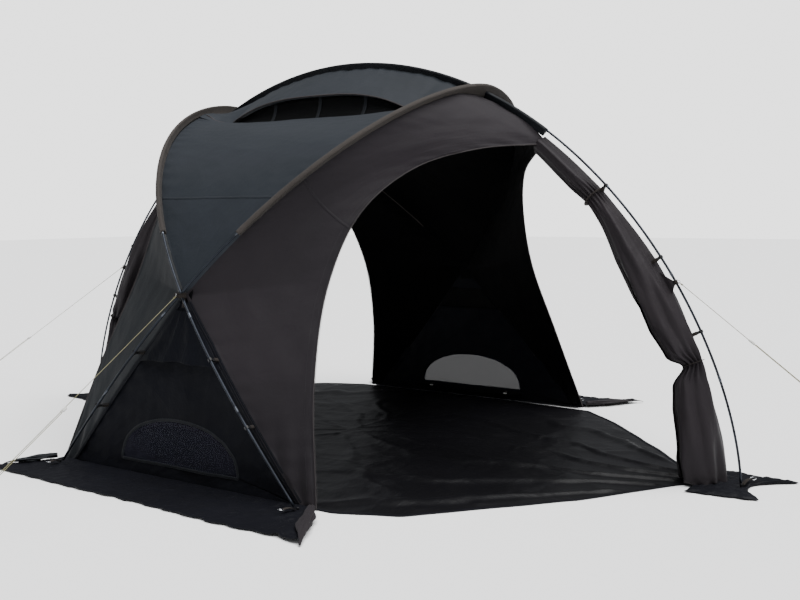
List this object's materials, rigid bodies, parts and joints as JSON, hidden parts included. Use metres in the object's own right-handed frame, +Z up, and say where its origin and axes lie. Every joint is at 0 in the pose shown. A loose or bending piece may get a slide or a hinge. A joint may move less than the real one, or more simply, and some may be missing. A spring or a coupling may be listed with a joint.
{
  "type": "dome camping shelter",
  "caption": "Pole-framed fabric dome shelter with two leaning hoops, a ridge pole, arched doorways at both ends, side walls with mesh windows, a vented ridge cap, skirts and guy ropes.",
  "frame": {"origin": "on the ground in the middle of the floor", "axes": "+Z up; +Y along the ridge pole, from the front leg to the back leg; +X across, from the left wall to the right wall"},
  "size_m": [4.514, 6.9759, 2.1657],
  "materials": {
    "pole": "dark blue-grey anodised tube, satin",
    "tip": "black moulded plug",
    "hoop_sleeve": "taupe woven polyester",
    "ridge_sleeve": "black woven polyester",
    "roof_cloth": "dark blue-grey coated polyester taffeta, faint sheen",
    "vent_mesh": "fine black insect mesh",
    "door_cloth": "dark brown-grey coated polyester taffeta",
    "wall_cloth": "near-black navy polyester taffeta",
    "skirt_cloth": "near-black coated polyester, wrinkled",
    "ground_sheet": "dark coated sheet, glossy",
    "webbing": "brown woven webbing",
    "rope": "khaki braided cord",
    "runner": "pale moulded slider",
    "clip": "black moulded hook"
  },
  "bodies": {
    "shelter": {"back_foot_hoop_pole": "pole", "front_foot_hoop_pole": "pole", "ridge_pole": "pole", "back_foot_left_tip": "tip", "back_foot_right_tip": "tip", "front_foot_left_tip": "tip", "front_foot_right_tip": "tip", "ridge_front_tip": "tip", "ridge_back_tip": "tip", "back_foot_hoop_sleeve": "hoop_sleeve", "front_foot_hoop_sleeve": "hoop_sleeve", "ridge_sleeve": "ridge_sleeve", "roof_left": "roof_cloth", "roof_right": "roof_cloth", "ridge_cap": "roof_cloth", "ridge_vent_mesh_left": "vent_mesh", "ridge_vent_mesh_right": "vent_mesh", "left_window_mesh": "vent_mesh", "right_window_mesh": "vent_mesh", "front_left_door_panel": "door_cloth", "front_right_door_panel": "door_cloth", "back_left_door_panel": "door_cloth", "back_right_door_panel": "door_cloth", "front_gathered_doors": "door_cloth", "back_gathered_doors": "door_cloth", "left_wall": "wall_cloth", "right_wall": "wall_cloth", "left_vent_hood": "wall_cloth", "right_vent_hood": "wall_cloth", "left_skirt": "skirt_cloth", "right_skirt": "skirt_cloth", "front_foot_skirt": "skirt_cloth", "back_foot_skirt": "skirt_cloth", "ground_sheet": "ground_sheet", "left_crossing_band": "webbing", "right_crossing_band": "webbing", "left_guy_rope": "rope", "left_guy_loop": "rope", "front_guy_rope": "rope", "front_guy_loop": "rope", "back_guy_rope": "rope", "back_guy_loop": "rope"},
    "left_back_leg_clip_low": {"left_back_leg_clip_low": "clip"},
    "left_back_leg_clip_high": {"left_back_leg_clip_high": "clip"},
    "left_front_leg_clip_low": {"left_front_leg_clip_low": "clip"},
    "left_front_leg_clip_high": {"left_front_leg_clip_high": "clip"},
    "right_back_leg_clip_low": {"right_back_leg_clip_low": "clip"},
    "right_back_leg_clip_high": {"right_back_leg_clip_high": "clip"},
    "right_front_leg_clip_low": {"right_front_leg_clip_low": "clip"},
    "right_front_leg_clip_high": {"right_front_leg_clip_high": "clip"},
    "front_door_clip_low": {"front_door_clip_low": "clip"},
    "front_door_clip_middle": {"front_door_clip_middle": "clip"},
    "front_door_clip_high": {"front_door_clip_high": "clip"},
    "back_door_clip_low": {"back_door_clip_low": "clip"},
    "back_door_clip_middle": {"back_door_clip_middle": "clip"},
    "back_door_clip_high": {"back_door_clip_high": "clip"},
    "left_runner": {"left_runner": "runner"},
    "front_runner": {"front_runner": "runner"},
    "back_runner": {"back_runner": "runner"}
  },
  "joints": [
    {"name": "left_back_leg_clip_low_swivel", "type": "hinge", "parent": "shelter", "child": "left_back_leg_clip_low", "pos_m": [-1.45277, 0.50471, 0.34], "axis": [0.0454, -0.6613, 0.7488], "range_deg": [-10, 10]},
    {"name": "left_back_leg_clip_high_swivel", "type": "hinge", "parent": "shelter", "child": "left_back_leg_clip_high", "pos_m": [-1.42114, 0.253, 0.625], "axis": [0.1259, -0.6567, 0.7436], "range_deg": [-10, 10]},
    {"name": "left_front_leg_clip_low_swivel", "type": "hinge", "parent": "shelter", "child": "left_front_leg_clip_low", "pos_m": [-1.43785, -0.50471, 0.34], "axis": [0.0449, 0.6613, 0.7488], "range_deg": [-10, 10]},
    {"name": "left_front_leg_clip_high_swivel", "type": "hinge", "parent": "shelter", "child": "left_front_leg_clip_high", "pos_m": [-1.40655, -0.253, 0.625], "axis": [0.1246, 0.6568, 0.7437], "range_deg": [-10, 10]},
    {"name": "right_back_leg_clip_low_swivel", "type": "hinge", "parent": "shelter", "child": "right_back_leg_clip_low", "pos_m": [1.45277, 0.50471, 0.34], "axis": [-0.0454, -0.6613, 0.7488], "range_deg": [-10, 10]},
    {"name": "right_back_leg_clip_high_swivel", "type": "hinge", "parent": "shelter", "child": "right_back_leg_clip_high", "pos_m": [1.42114, 0.253, 0.625], "axis": [-0.1259, -0.6567, 0.7436], "range_deg": [-10, 10]},
    {"name": "right_front_leg_clip_low_swivel", "type": "hinge", "parent": "shelter", "child": "right_front_leg_clip_low", "pos_m": [1.43785, -0.50471, 0.34], "axis": [-0.0449, 0.6613, 0.7488], "range_deg": [-10, 10]},
    {"name": "right_front_leg_clip_high_swivel", "type": "hinge", "parent": "shelter", "child": "right_front_leg_clip_high", "pos_m": [1.40655, -0.253, 0.625], "axis": [-0.1246, 0.6568, 0.7437], "range_deg": [-10, 10]},
    {"name": "front_door_clip_low_swivel", "type": "hinge", "parent": "shelter", "child": "front_door_clip_low", "pos_m": [0, -2.09256, 0.73], "axis": [0, 0.4339, 0.901], "range_deg": [-12, 12]},
    {"name": "front_door_clip_middle_swivel", "type": "hinge", "parent": "shelter", "child": "front_door_clip_middle", "pos_m": [0, -1.88929, 1.08], "axis": [0, 0.5662, 0.8242], "range_deg": [-12, 12]},
    {"name": "front_door_clip_high_swivel", "type": "hinge", "parent": "shelter", "child": "front_door_clip_high", "pos_m": [0, -1.60299, 1.43], "axis": [0, 0.6961, 0.718], "range_deg": [-12, 12]},
    {"name": "back_door_clip_low_swivel", "type": "hinge", "parent": "shelter", "child": "back_door_clip_low", "pos_m": [0, 2.09256, 0.73], "axis": [0, -0.4339, 0.901], "range_deg": [-12, 12]},
    {"name": "back_door_clip_middle_swivel", "type": "hinge", "parent": "shelter", "child": "back_door_clip_middle", "pos_m": [0, 1.88929, 1.08], "axis": [0, -0.5662, 0.8242], "range_deg": [-12, 12]},
    {"name": "back_door_clip_high_swivel", "type": "hinge", "parent": "shelter", "child": "back_door_clip_high", "pos_m": [0, 1.60299, 1.43], "axis": [0, -0.6961, 0.718], "range_deg": [-12, 12]},
    {"name": "left_runner_slide", "type": "slide", "parent": "shelter", "child": "left_runner", "axis": [-0.8335, 0, -0.5525], "range_m": [0, 0.45]},
    {"name": "front_runner_slide", "type": "slide", "parent": "shelter", "child": "front_runner", "axis": [0, -0.7938, -0.6082], "range_m": [0, 0.45]},
    {"name": "back_runner_slide", "type": "slide", "parent": "shelter", "child": "back_runner", "axis": [0, 0.8851, -0.4653], "range_m": [0, 0.45]}
  ]
}
